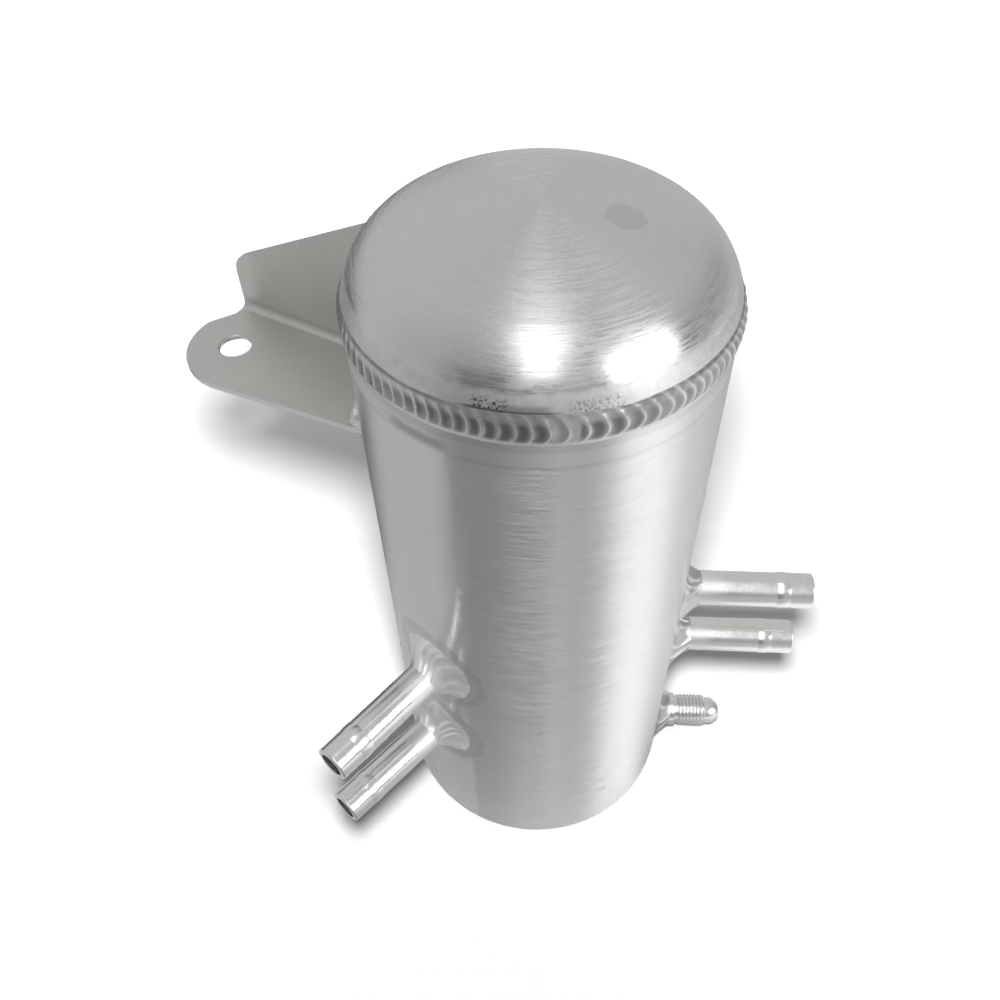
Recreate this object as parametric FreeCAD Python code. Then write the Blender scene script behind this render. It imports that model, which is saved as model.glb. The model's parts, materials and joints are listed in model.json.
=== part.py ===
import FreeCAD, Part
import math
import os

# Welded aluminium oil catch can. Millimetres and degrees.
# The origin is at the centre of the can's bottom face, +Z is up and -Y is the front.
# An azimuth is measured from +X towards +Y, seen from above.

os.makedirs("parts", exist_ok=True)
Vector = FreeCAD.Vector

# Round tube
body_od = 88.9
body_wall = 3.0
seam_height = 191.0
body_foot_round = 0.8

# Dished cap: a broad crown blended to the tube by a knuckle
cap_wall = 3.0
cap_knuckle_radius = 18.0
cap_crown_radius = 89.0

# Bottom disc, set inside the tube's end and flush with it
floor_thickness = 3.0
floor_bevel = 1.5

# Weld groove and rippled bead between the tube and the cap
groove_depth = 2.0
bead_width = 8.0
bead_height = 1.05
bead_pitch = 3.1
bead_ripple = 0.32
bead_sweep = 2.3

# Hose tails: name, azimuth, height of the axis, length outside the tube, outer diameter,
# and the leg of the weld on the tube's wall
tails = [
    ("left_upper", 227.1, 88.4, 39.0, 10.0, 7.2),
    ("left_lower", 224.9, 54.7, 37.9, 10.0, 7.2),
    ("right_upper", 355.5, 83.0, 39.2, 10.7, 6.2),
    ("right_lower", 355.5, 57.9, 38.1, 10.7, 6.2),
]
tail_bore = 7.0
tail_stub = 2.0
tail_end_round = 0.5
tail_ring_height = 0.2
tail_ring_width = 4.0
tail_ring_setback = 9.0
tail_hole_gap = 0.1

# Weld fillets round the hose tails
tail_weld_reach = 6.0
tail_weld_ripple = 0.5
tail_weld_count = 13

# Drain fitting: a collar coped to the tube, a threaded barrel and a coned nose
drain_azimuth = 355.5
drain_height = 8.0
drain_length = 22.0
drain_collar_od = 11.6
drain_collar_length = 6.6
drain_collar_chamfer = 0.5
drain_thread_od = 11.1
drain_relief_od = 9.4
drain_relief_length = 0.8
drain_nose_length = 5.0
drain_nose_od = 9.2
drain_nose_tip_od = 5.8
drain_nose_angle = 37.0
drain_spigot_od = 8.0
drain_bore = 4.4
drain_weld_leg = 5.0
drain_weld_reach = 4.8
drain_weld_ripple = 0.4
drain_weld_count = 11
drain_weld_floor_gap = 0.9

# Bracket: one folded sheet. "Out" is measured from the tube's wall, "side" from the flange's face
bracket_azimuth = 149.0
bracket_sheet = 1.6
bracket_bend_radius = 2.0
bracket_level = 152.5
bracket_face_offset = -1.9
ear_radius = 17.7
ear_out = 39.7
ear_side = 13.7
neck_side = 4.3
neck_slope = 57.5
neck_round = 3.0
shoulder_round = 5.0
strip_width_at_tube = 26.8
bolt_hole = 9.0
bolt_hole_chamfer = 0.3
bolt_out = 43.6
bolt_side = 15.8
flange_end_height = 16.0
flange_slope = 26.7
flange_corner_radius = 7.5
flange_relief_out = 5.6
flange_bead_gap = 2.0

# Weld fillets of the bracket
bracket_weld_leg = 4.0
bracket_weld_ripple = 0.3
bracket_weld_pitch = 3.4
bracket_weld_start_gap = 3.4
bracket_weld_end_gap = 2.0
bracket_under_leg = 3.0
flange_weld_leg = 2.8
flange_weld_end_gap = 3.0

# Divider inside the can
baffle_azimuth = 110.0
baffle_thickness = 2.0
baffle_height = 140.0
baffle_gap = 0.3
baffle_hole = 8.0
baffle_hole_pitch = 15.0
baffle_hole_columns = 4
baffle_hole_rows = 3
baffle_hole_top_margin = 14.0
baffle_drain_width = 10.0
baffle_drain_height = 5.0
baffle_tack_radius = 3.5
baffle_tack_levels = (30.0, 110.0)

# Each ripple of a weld, as (place in its pitch, height): a valley, a crest close after it, and the slope down
ripple_profile = ((0.0, 0.0), (0.22, 1.0), (0.6, 0.4))
# Places across a weld between its toes: for a bead from -1 to 1, for a fillet from 0 to 1
bead_stations = (-0.7, -0.35, 0.0, 0.35, 0.7)
fillet_stations = (0.2, 0.5, 0.8)
# How far a fillet's middle runs ahead of its toes, in ripples
fillet_lean = 0.5
fillet_crown = 0.9
# How far a fillet is laid into the metal before the joined pieces trim it
root_bite = 0.5

# Sizes that follow from the ones above
body_radius = body_od / 2
inner_radius = body_radius - body_wall
bead_half = bead_width / 2
bead_count = round(2 * math.pi * body_radius / bead_pitch)
knuckle_centre_radius = body_radius - cap_knuckle_radius
strip_side = bracket_face_offset + strip_width_at_tube
bend_side = bracket_face_offset + bracket_bend_radius
ear_centre = Vector(body_radius + ear_out, bracket_face_offset + ear_side, 0)


def revolved(points, axis=Vector(0, 0, 1)):
    """A closed outline of straight sides, turned through 360 degrees about an axis at the origin."""
    outline = Part.makePolygon(points + [points[0]])
    return Part.Face(outline).revolve(Vector(0, 0, 0), axis, 360)


def at_azimuth(shape, azimuth, height=0.0):
    """Turn a shape that was made along +X to an azimuth, and lift it."""
    shape.rotate(Vector(0, 0, 0), Vector(0, 0, 1), azimuth)
    shape.translate(Vector(0, 0, height))
    return shape


def rod(radius, start, end):
    """A round bar along +X."""
    return Part.makeCylinder(radius, end - start, Vector(start, 0, 0), Vector(1, 0, 0))


def upright_rod(radius, bottom, top):
    return Part.makeCylinder(radius, top - bottom, Vector(0, 0, bottom))


def wall_out(radius, side):
    """Distance along +X to an upright round wall, at a place to the side of the centre line."""
    return math.sqrt(radius ** 2 - side ** 2)


def save(name, shape):
    shape.exportStep("parts/" + name + ".step")


# Can


def seam_groove():
    """The ring of metal that the bevels on the tube and the cap leave out for the weld."""
    reach = groove_depth + body_wall
    root = body_radius - groove_depth
    return revolved([
        Vector(root, 0, seam_height),
        Vector(root + reach, 0, seam_height + reach),
        Vector(root + reach, 0, seam_height - reach),
    ])


def floor_groove():
    """The ring left out under the bottom disc's edge, half in the tube and half in the disc."""
    return revolved([
        Vector(inner_radius, 0, floor_bevel),
        Vector(inner_radius - floor_bevel, 0, 0),
        Vector(inner_radius + floor_bevel, 0, 0),
    ])


def wall_holes():
    """Cutters for the holes through which the tails and the drain's spigot enter the tube."""
    cutters = []
    for name, azimuth, height, length, od, leg in tails:
        cutters.append(at_azimuth(rod(od / 2 + tail_hole_gap, 0, body_od), azimuth, height))
    spigot = rod(drain_spigot_od / 2 + tail_hole_gap, 0, body_od)
    cutters.append(at_azimuth(spigot, drain_azimuth, drain_height))
    return cutters


def can_body():
    outside = upright_rod(body_radius, 0, seam_height)
    foot = [edge for edge in outside.Edges if edge.BoundBox.ZMax < 0.001]
    outside = outside.makeFillet(body_foot_round, foot)
    tube = outside.cut(upright_rod(inner_radius, 0, seam_height))
    return tube.cut([seam_groove(), floor_groove()] + wall_holes())


def dish(knuckle, crown):
    """A solid dished end on a flat base at the seam: a crown of one radius and a knuckle of another."""
    lean = math.asin(knuckle_centre_radius / (crown - knuckle))
    crown_centre = seam_height - (crown - knuckle) * math.cos(lean)
    turn = (math.pi / 2 - lean) / 2

    def on_crown(angle):
        return Vector(crown * math.sin(angle), 0, crown_centre + crown * math.cos(angle))

    edge = Vector(knuckle_centre_radius + knuckle, 0, seam_height)
    middle = Vector(knuckle * math.cos(turn), 0, knuckle * math.sin(turn))
    middle = middle + Vector(knuckle_centre_radius, 0, seam_height)
    base = Vector(0, 0, seam_height)
    sides = [
        Part.makeLine(base, edge),
        Part.Arc(edge, middle, on_crown(lean)).toShape(),
        Part.Arc(on_crown(lean), on_crown(lean / 2), on_crown(0)).toShape(),
        Part.makeLine(on_crown(0), base),
    ]
    return Part.Face(Part.Wire(sides)).revolve(Vector(0, 0, 0), Vector(0, 0, 1), 360)


def top_cap():
    outside = dish(cap_knuckle_radius, cap_crown_radius)
    inside = dish(cap_knuckle_radius - cap_wall, cap_crown_radius - cap_wall)
    return outside.cut([inside, seam_groove()])


def bottom_plate():
    return upright_rod(inner_radius, 0, floor_thickness).cut(floor_groove())


# Welds


def facets(here, there):
    """The ring of flat triangles between two neighbouring loops of a weld."""
    faces = []
    for n in range(len(here)):
        m = (n + 1) % len(here)
        for corners in ((here[n], here[m], there[m]), (here[n], there[m], there[n])):
            faces.append(Part.Face(Part.makePolygon(list(corners) + [corners[0]])))
    return faces


def end_facets(loop):
    """Triangles that close a weld's end, all from its root, which is the loop's last corner."""
    faces = []
    for n in range(len(loop) - 2):
        faces.append(Part.Face(Part.makePolygon([loop[-1], loop[n], loop[n + 1], loop[-1]])))
    return faces


def weld(loops, closed):
    """A solid weld laid through a row of loops that go round it."""
    faces = []
    for here, there in zip(loops, loops[1:]):
        faces += facets(here, there)
    if closed:
        faces += facets(loops[-1], loops[0])
    else:
        faces += end_facets(loops[0]) + end_facets(loops[-1])
    skin = Part.makeCompound(faces)
    skin.sewShape(0.001)
    solid = Part.Solid(skin.Shells[0])
    if solid.Volume < 0:
        solid.reverse()
    return solid


def top_weld_bead():
    """The bead that fills the seam groove: overlapping ripples whose middles run ahead of their toes."""
    pitch = 2 * math.pi / bead_count
    widest_step = (1 - ripple_profile[-1][0]) * pitch
    set_out = 1 / math.cos(widest_step / 2)
    knuckle = cap_knuckle_radius
    short = knuckle - groove_depth
    lip = (math.sqrt(2 * knuckle ** 2 - short ** 2) - short) / 2
    lip_turn = math.asin(lip / knuckle)
    toe_turn = math.asin(bead_half / knuckle)
    sag = knuckle * (1 - math.cos((toe_turn - lip_turn) / 2))
    slack = sag / math.cos((toe_turn + lip_turn) / 2)

    def parent(rise):
        round_metal = knuckle_centre_radius + math.sqrt(knuckle ** 2 - rise ** 2) + slack
        return (body_radius if rise <= 0 else round_metal) * set_out

    def point(radius, angle, rise):
        return Vector(radius * math.cos(angle), radius * math.sin(angle), seam_height + rise)

    loops = []
    for k in range(bead_count):
        for place, height in ripple_profile:
            angle = (k + place) * pitch
            loop = [point(parent(-bead_half), angle, -bead_half)]
            for station in bead_stations:
                swell = 1 - station ** 2
                rise = station * bead_half
                radius = parent(rise) + swell * (bead_height - bead_ripple * (1 - height))
                loop.append(point(radius, angle + swell * bead_sweep / body_radius, rise))
            loop.append(point(parent(bead_half), angle, bead_half))
            loop.append(point(parent(lip), angle, lip))
            loop.append(point((body_radius - groove_depth) * set_out, angle, 0))
            loop.append(point(parent(-groove_depth), angle, -groove_depth))
            loops.append(loop)
    return weld(loops, closed=True)


def fillet_loops(place, count, leg, reach, ripple, tapered):
    """Loops of a fillet weld. "place" turns (ripples along, off one face, off the other) to a point."""
    stops = [k + step[0] for k in range(count) for step in ripple_profile]
    heights = [step[1] for k in range(count) for step in ripple_profile]
    slant = math.hypot(leg, reach)
    loops = []
    for n, (along, height) in enumerate(zip(stops, heights)):
        size = 0.6 if tapered and n in (0, len(stops) - 1) else 1.0
        toe = size * (leg - ripple * (1 - height))
        rise = size * (reach - ripple * (1 - height))
        loop = [place(along, -root_bite, rise)]
        for share in fillet_stations:
            arch = 4 * share * (1 - share)
            swell = size * arch * (fillet_crown - ripple * (1 - height))
            ahead = 0.0 if tapered and size < 1 else fillet_lean * arch
            off = toe * share + swell * reach / slant
            up = rise * (1 - share) + swell * leg / slant
            loop.append(place(along + ahead, off, up))
        loop.append(place(along, toe, -root_bite))
        loop.append(place(along, -root_bite, -root_bite))
        loops.append(loop)
    return loops


def weld_round(radius, leg, reach, ripple, count):
    """A fillet weld all round a bar that stands on the tube's wall along +X."""

    def place(along, off, rise):
        angle = 2 * math.pi * along / count
        side = (radius + off) * math.cos(angle)
        out = wall_out(body_radius, side) + rise
        return Vector(out, side, (radius + off) * math.sin(angle))

    laid = weld(fillet_loops(place, count, leg, reach, ripple, tapered=False), closed=True)
    return laid.cut([upright_rod(body_radius, -body_radius, body_radius), rod(radius, 0, body_od)])


# Hose tails and drain fitting


def hose_tail(length, od):
    """A plain tube end with a low rolled ring, rounded at its tip."""
    tip = body_radius + length
    start = inner_radius - tail_stub
    outside = rod(od / 2, start, tip)
    end = [edge for edge in outside.Edges if edge.BoundBox.XMin > tip - 0.001]
    outside = outside.makeFillet(tail_end_round, end)
    ring_start = tip - tail_ring_setback - tail_ring_width / 2
    ring_end = ring_start + tail_ring_width
    crest = Vector((ring_start + ring_end) / 2, 0, od / 2 + tail_ring_height)
    arch = Part.Arc(Vector(ring_start, 0, od / 2), crest, Vector(ring_end, 0, od / 2)).toShape()
    below = Part.makePolygon([
        Vector(ring_end, 0, od / 2),
        Vector(ring_end, 0, od / 4),
        Vector(ring_start, 0, od / 4),
        Vector(ring_start, 0, od / 2),
    ])
    ring = Part.Face(Part.Wire([arch] + below.Edges)).revolve(Vector(0, 0, 0), Vector(1, 0, 0), 360)
    return outside.fuse(ring).cut(rod(tail_bore / 2, start, tip))


def drain_fitting():
    """A coped collar, a threaded barrel and a coned sealing nose, bored through, with a spigot."""
    tip = body_radius + drain_length
    collar_end = body_radius + drain_collar_length
    nose_start = tip - drain_nose_length
    cone = (drain_nose_od - drain_nose_tip_od) / 2 / math.tan(math.radians(drain_nose_angle))
    sides = [
        (0, 0),
        (0, drain_collar_od / 2),
        (collar_end - drain_collar_chamfer, drain_collar_od / 2),
        (collar_end, drain_collar_od / 2 - drain_collar_chamfer),
        (collar_end, drain_relief_od / 2),
        (collar_end + drain_relief_length, drain_relief_od / 2),
        (collar_end + drain_relief_length, drain_thread_od / 2),
        (nose_start, drain_thread_od / 2),
        (nose_start, drain_nose_od / 2),
        (tip - cone, drain_nose_od / 2),
        (tip, drain_nose_tip_od / 2),
        (tip, 0),
    ]
    turned = revolved([Vector(out, 0, radius) for out, radius in sides], Vector(1, 0, 0))
    coped = turned.cut(upright_rod(body_radius, -body_radius, body_radius))
    spigot = rod(drain_spigot_od / 2, inner_radius, body_radius + drain_collar_length / 2)
    return coped.fuse(spigot).cut(rod(drain_bore / 2, 0, tip)).removeSplitter()


def drain_weld():
    """The fillet round the drain's collar, trimmed above the can's foot."""
    laid = weld_round(
        drain_collar_od / 2, drain_weld_leg, drain_weld_reach, drain_weld_ripple, drain_weld_count
    )
    foot = upright_rod(body_od, -body_od, drain_weld_floor_gap - drain_height)
    return laid.cut(foot)


# Bracket, made with "out" along +X and its folded-up flange on the -Y side


def strip_front_edge():
    """Where the strip's front edge leaves the tube's wall, and where it runs into the ear."""
    corner = Vector(wall_out(body_radius, strip_side), strip_side, 0)
    gap = ear_centre - corner
    turn = math.atan2(gap.y, gap.x) + math.asin(ear_radius / gap.Length)
    along = Vector(math.cos(turn), math.sin(turn), 0)
    return corner, corner + along * math.sqrt(gap.Length ** 2 - ear_radius ** 2), along


def neck_cutter():
    """What the outline leaves off the ear beside the flange: a short neck, then a slope out to the round."""
    end = flange_end()
    neck = Vector(end, bracket_face_offset + neck_side, 0)
    slope = math.radians(neck_slope)
    far = neck + Vector(math.cos(slope), math.sin(slope), 0) * ear_radius
    low = bend_side - bracket_sheet
    outline = Part.makePolygon([neck, far, Vector(far.x, low, 0), Vector(end, low, 0), neck])
    return Part.Face(outline).extrude(Vector(0, 0, bracket_sheet))


def shoulder():
    """Where the neck's slope meets the round of the ear."""
    slope = math.radians(neck_slope)
    along = Vector(math.cos(slope), math.sin(slope), 0)
    start = Vector(flange_end(), bracket_face_offset + neck_side, 0) - ear_centre
    middle = start.dot(along)
    reach = math.sqrt(middle ** 2 + ear_radius ** 2 - start.dot(start)) - middle
    return ear_centre + start + along * reach


def rounded_corner(shape, corner, radius):
    """Round the upright edge of a flat piece that stands at a corner of its outline."""
    edges = [
        edge for edge in shape.Edges
        if edge.BoundBox.DiagonalLength < bracket_sheet + 0.001
        and math.hypot(edge.BoundBox.Center.x - corner.x, edge.BoundBox.Center.y - corner.y) < 0.01
    ]
    return shape.makeFillet(radius, edges)


def bracket_strip():
    """The level strip with its round ear, as far as the start of the bend."""
    corner, touch, along = strip_front_edge()
    end = flange_end()
    outline = Part.makePolygon([
        Vector(0, bend_side, 0),
        corner - along * corner.x,
        touch,
        ear_centre,
        Vector(end, bend_side, 0),
        Vector(0, bend_side, 0),
    ])
    ear = Part.Face(Part.Wire(Part.makeCircle(ear_radius, ear_centre)))
    flat = Part.Face(outline).fuse(ear).removeSplitter().extrude(Vector(0, 0, bracket_sheet))
    beyond = Part.makeBox(body_od * 2, body_od, bracket_sheet, Vector(0, bend_side - body_od, 0))
    flat = flat.cut([beyond, neck_cutter()])
    flat = rounded_corner(flat, Vector(end, bracket_face_offset + neck_side, 0), neck_round)
    return rounded_corner(flat, shoulder(), shoulder_round)


def flange_end():
    """The flange's outer end, where the round of the ear runs into the bend."""
    return ear_centre.x + math.sqrt(ear_radius ** 2 - (ear_centre.y - bend_side) ** 2)


def bracket_bend():
    """A quarter turn of sheet between the strip and the flange."""
    outer = bracket_bend_radius + bracket_sheet
    start = Vector(0, bend_side, outer)
    bend = Part.makeCylinder(outer, flange_end(), start, Vector(1, 0, 0))
    bend = bend.cut(Part.makeCylinder(bracket_bend_radius, flange_end(), start, Vector(1, 0, 0)))
    quarter = Part.makeBox(flange_end(), outer, outer, Vector(0, bend_side - outer, 0))
    return bend.common(quarter)


def bracket_flange():
    """The upright flange: a sloped top edge, a rounded outer corner and a relief under the bead."""
    end = flange_end()
    low = bracket_bend_radius + bracket_sheet
    high = bracket_sheet + flange_end_height
    relief = body_radius + flange_relief_out
    peak = high + (end - relief) * math.tan(math.radians(flange_slope))
    foot = seam_height - bead_half - flange_bead_gap - bracket_level + bracket_sheet
    side = bracket_face_offset - bracket_sheet
    outline = Part.makePolygon([
        Vector(0, side, low),
        Vector(end, side, low),
        Vector(end, side, high),
        Vector(relief, side, peak),
        Vector(wall_out(body_radius, bracket_face_offset), side, foot),
        Vector(0, side, foot),
        Vector(0, side, low),
    ])
    plate = Part.Face(outline).extrude(Vector(0, bracket_sheet, 0))
    corner = [
        edge for edge in plate.Edges
        if edge.BoundBox.XMin > end - 0.001 and abs(edge.BoundBox.ZMin - high) < 0.001
        and edge.BoundBox.ZLength < 0.001
    ]
    return plate.makeFillet(flange_corner_radius, corner)


def bolt_hole_cutter():
    """The bolt hole with a light chamfer at each face."""
    radius = bolt_hole / 2
    wide = radius + bolt_hole_chamfer
    cutter = revolved([
        Vector(0, 0, -1),
        Vector(wide + 1, 0, -1),
        Vector(radius, 0, bolt_hole_chamfer),
        Vector(radius, 0, bracket_sheet - bolt_hole_chamfer),
        Vector(wide + 1, 0, bracket_sheet + 1),
        Vector(0, 0, bracket_sheet + 1),
    ])
    cutter.translate(Vector(body_radius + bolt_out, bracket_face_offset + bolt_side, 0))
    return cutter


def bracket():
    sheet = bracket_strip().fuse([bracket_bend(), bracket_flange()]).removeSplitter()
    sheet = sheet.cut(bolt_hole_cutter())
    sheet = at_azimuth(sheet, bracket_azimuth, bracket_level - bracket_sheet)
    return sheet.cut(upright_rod(body_radius, 0, seam_height))


def weld_along_strip(level, upward, leg):
    """A fillet between the strip and the tube's wall, above the strip or under it."""
    start = math.asin((bracket_face_offset + bracket_weld_start_gap) / body_radius)
    end = math.asin(strip_side / body_radius) - bracket_weld_end_gap / body_radius
    count = round((end - start) * body_radius / bracket_weld_pitch)

    def place(along, off, rise):
        angle = start + (end - start) * along / (count - 1 + ripple_profile[-1][0])
        out = body_radius + off
        return Vector(out * math.cos(angle), out * math.sin(angle), upward * rise)

    laid = weld(fillet_loops(place, count, leg, leg, bracket_weld_ripple, tapered=True), closed=False)
    metal = Part.makeBox(body_od, body_od, leg, Vector(0, -body_radius, min(0, -upward * leg)))
    laid = laid.cut([upright_rod(body_radius, -body_radius, body_radius), metal])
    return at_azimuth(laid, bracket_azimuth, level)


def weld_along_flange():
    """The upright fillet between the flange's face and the tube's wall."""
    low = bracket_level + bracket_bend_radius + flange_weld_end_gap
    high = seam_height - bead_half - flange_bead_gap - flange_weld_end_gap
    count = round((high - low) / bracket_weld_pitch)

    def place(along, off, rise):
        side = bracket_face_offset + off
        level = low + (high - low) * along / (count - 1 + ripple_profile[-1][0])
        return Vector(wall_out(body_radius, side) + rise, side, level)

    loops = fillet_loops(place, count, flange_weld_leg, flange_weld_leg, bracket_weld_ripple, tapered=True)
    metal = Part.makeBox(body_od, body_radius, seam_height, Vector(0, bracket_face_offset - body_radius, 0))
    laid = weld(loops, closed=False).cut([upright_rod(body_radius, 0, seam_height), metal])
    return at_azimuth(laid, bracket_azimuth)


# Divider inside the can, made in the XZ plane


def baffle_half_width():
    return wall_out(inner_radius, baffle_thickness / 2) - baffle_gap


def baffle_plate():
    half = baffle_half_width()
    corner = Vector(-half, -baffle_thickness / 2, floor_thickness)
    plate = Part.makeBox(2 * half, baffle_thickness, baffle_height, corner)
    cutters = []
    for column in range(baffle_hole_columns):
        for row in range(baffle_hole_rows):
            across = (column - (baffle_hole_columns - 1) / 2) * baffle_hole_pitch
            level = floor_thickness + baffle_height - baffle_hole_top_margin - row * baffle_hole_pitch
            start = Vector(across, -baffle_thickness, level)
            cutters.append(
                Part.makeCylinder(baffle_hole / 2, 2 * baffle_thickness, start, Vector(0, 1, 0))
            )
    for side in (-half, half - baffle_drain_width):
        start = Vector(side, -baffle_thickness, floor_thickness)
        cutters.append(
            Part.makeBox(baffle_drain_width, 2 * baffle_thickness, baffle_drain_height, start)
        )
    return at_azimuth(plate.cut(cutters), baffle_azimuth)


def baffle_welds():
    """Short tacks that bridge the divider's edges and the tube's wall."""
    half = baffle_half_width()
    tacks = []
    for level in baffle_tack_levels:
        for side in (-1, 1):
            for face in (-1, 1):
                centre = Vector(side * half, face * baffle_thickness / 2, floor_thickness + level)
                ball = Part.makeSphere(baffle_tack_radius, centre)
                low = Vector(-body_radius, min(0, face * body_radius), 0)
                near = Part.makeBox(body_od, body_radius, seam_height, low)
                tacks.append(ball.common(near).common(upright_rod(inner_radius, 0, seam_height)))
    return at_azimuth(Part.makeCompound(tacks), baffle_azimuth).cut(baffle_plate())


def save_all():
    save("can_body", can_body())
    save("top_cap", top_cap())
    save("top_weld_bead", top_weld_bead())
    save("bottom_plate", bottom_plate())
    save("bottom_weld_seam", floor_groove())
    for name, azimuth, height, length, od, leg in tails:
        save("hose_tail_" + name, at_azimuth(hose_tail(length, od), azimuth, height))
        fillet = weld_round(od / 2, leg, tail_weld_reach, tail_weld_ripple, tail_weld_count)
        save("weld_" + name, at_azimuth(fillet, azimuth, height))
    save("drain_fitting", at_azimuth(drain_fitting(), drain_azimuth, drain_height))
    save("weld_drain", at_azimuth(drain_weld(), drain_azimuth, drain_height))
    save("bracket", bracket())
    save("weld_bracket_top", weld_along_strip(bracket_level, 1, bracket_weld_leg))
    save("weld_bracket_under", weld_along_strip(bracket_level - bracket_sheet, -1, bracket_under_leg))
    save("weld_bracket_flange", weld_along_flange())
    save("baffle_plate", baffle_plate())
    save("baffle_welds", baffle_welds())


save_all()
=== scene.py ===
import json
import math
import random
from collections import namedtuple

import bpy
from mathutils import Matrix, Vector


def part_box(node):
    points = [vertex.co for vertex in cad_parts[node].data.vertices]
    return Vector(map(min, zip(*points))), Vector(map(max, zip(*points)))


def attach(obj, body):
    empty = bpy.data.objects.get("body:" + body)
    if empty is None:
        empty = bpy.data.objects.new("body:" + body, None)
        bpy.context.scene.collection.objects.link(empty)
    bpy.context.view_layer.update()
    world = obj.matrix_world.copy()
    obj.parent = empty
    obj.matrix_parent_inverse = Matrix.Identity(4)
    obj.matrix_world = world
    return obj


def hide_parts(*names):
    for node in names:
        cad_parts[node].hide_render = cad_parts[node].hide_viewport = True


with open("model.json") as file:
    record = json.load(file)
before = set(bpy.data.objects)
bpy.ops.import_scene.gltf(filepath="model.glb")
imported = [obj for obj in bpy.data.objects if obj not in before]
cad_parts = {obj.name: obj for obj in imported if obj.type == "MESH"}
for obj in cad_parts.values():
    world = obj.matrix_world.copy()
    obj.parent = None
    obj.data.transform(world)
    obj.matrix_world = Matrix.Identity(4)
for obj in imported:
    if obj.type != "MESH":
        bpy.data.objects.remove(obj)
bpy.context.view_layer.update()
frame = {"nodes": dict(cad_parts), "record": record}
mm = 0.001
nodes = frame["nodes"]
mounts = {mount["name"]: mount for mount in frame["record"]["mounts"]}

# Sizes read from the frame
can_low, can_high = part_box("can_body")
can_radius = (can_high.x - can_low.x) / 2
bead_low, bead_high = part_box("top_weld_bead")
seam_height = (bead_low.z + bead_high.z) / 2
bead_half = (bead_high.z - bead_low.z) / 2

# The same heights in millimetres, for the materials
seam = seam_height / mm
bead_foot = bead_low.z / mm
bead_head = bead_high.z / mm

# Cap's outside: a knuckle of this radius at the seam, as in the CAD model
knuckle_radius = 18 * mm
knuckle_centre = can_radius - knuckle_radius

# Top bead, in the same terms as the CAD model. Its seed, its lowest rim and its unevenness vary its ripples
bead_height = 1.05 * mm
bead_pitch = 3.1 * mm
bead_sweep = 2.3 * mm
bead_ripple = 0.42 * mm
bead_steps_per_ripple = 14
bead_rows = 20
bead_seed = 21
bead_lowest_rim = 0.65
bead_phase = 1.7
bead_unevenness = 0.5
bead_deepest = -0.05 * mm

# Every weld's hidden root: how deep it goes, and its width as a share of the weld's
bury = 0.4 * mm
root_share = 0.9
weld_sharp_angle = 50

# Fillets: how round their crown is, how hollow they are, how far their ripples lean, and how much of a
# ripple's depth their toes and their crown take
fillet_steps_per_ripple = 22
fillet_rows = 22
fillet_crown = 0.8 * mm
fillet_hollow = 0.75
fillet_lean = 0.5
fillet_lowest_rim = 0.5
fillet_unevenness = 0.35
fillet_toe_share = 0.8
fillet_crown_share = 1.3

# Tail welds. The mount gives the axis, leg is the width on the can, reach is the width on the tail, and
# ripple is the ripples' depth
TailWeld = namedtuple("TailWeld", "name mount leg reach ripple ripples seed")
tail_welds = [
    TailWeld("weld_left_upper", "tail_left_upper", 7.2 * mm, 6.0 * mm, 0.5 * mm, 13, 3),
    TailWeld("weld_left_lower", "tail_left_lower", 7.2 * mm, 6.0 * mm, 0.5 * mm, 13, 5),
    TailWeld("weld_right_upper", "tail_right_upper", 6.2 * mm, 6.0 * mm, 0.45 * mm, 13, 7),
    TailWeld("weld_right_lower", "tail_right_lower", 6.2 * mm, 6.0 * mm, 0.45 * mm, 13, 9),
    TailWeld("weld_drain", "drain_thread", 5.0 * mm, 4.8 * mm, 0.35 * mm, 11, 11),
]
other_welds = [
    "weld_bracket_top", "weld_bracket_under", "weld_bracket_flange", "baffle_welds", "bottom_weld_seam",
]

# Drain fitting, in the same terms as the CAD model, with a real thread on its barrel
drain_collar_radius = 5.8 * mm
drain_collar_length = 6.6 * mm
drain_collar_chamfer = 0.5 * mm
drain_relief_radius = 4.7 * mm
drain_relief_length = 0.8 * mm
drain_thread_radius = 5.55 * mm
drain_thread_pitch = 1.27 * mm
drain_thread_depth = 0.5 * mm
drain_nose_radius = 4.6 * mm
drain_nose_tip_radius = 2.9 * mm
drain_nose_length = 5.0 * mm
drain_nose_cone = 2.26 * mm
drain_length = 22.0 * mm
drain_bore_radius = 2.2 * mm
drain_spigot_radius = 4.0 * mm
drain_spigot_depth = 3.0 * mm
drain_weld_floor_gap = 0.9 * mm
thread_steps_per_turn = 10
thread_steps_round = 72
thread_sharp_angle = 40

# Bracket: its azimuth, the top of its flat strip, its bend, and how far out its flange ends
bracket_azimuth = 149.0
bracket_level = 152.5 * mm
bend_side = 0.1 * mm
bracket_axis = Vector((math.cos(math.radians(bracket_azimuth)), math.sin(math.radians(bracket_azimuth)), 0))
bracket_points = [nodes["bracket"].matrix_world @ v.co for v in nodes["bracket"].data.vertices]
flange_out = max(p.dot(bracket_axis) for p in bracket_points if p.z > bracket_level + 8 * mm)

# Camera, fitted to the photograph: its place, its pitch and roll, and its focal length in pixels of 1000
camera_place = Vector((-10.44, -172.16, 315.33)) * mm
camera_pitch = 48.33
camera_roll = -1.83
focal_pixels = 929.2
picture_pixels = 1000
sensor = 36.0

# Floor, and the small lamp over the camera that draws the shadows on it
floor_half = 3.0
floor_tone = 0.385
floor_tone_most = 0.92
shadow_lamp_place = camera_place + Vector((0, 10, 42)) * mm
shadow_lamp_radius = 22 * mm
shadow_lamp_level = 2.25

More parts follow.
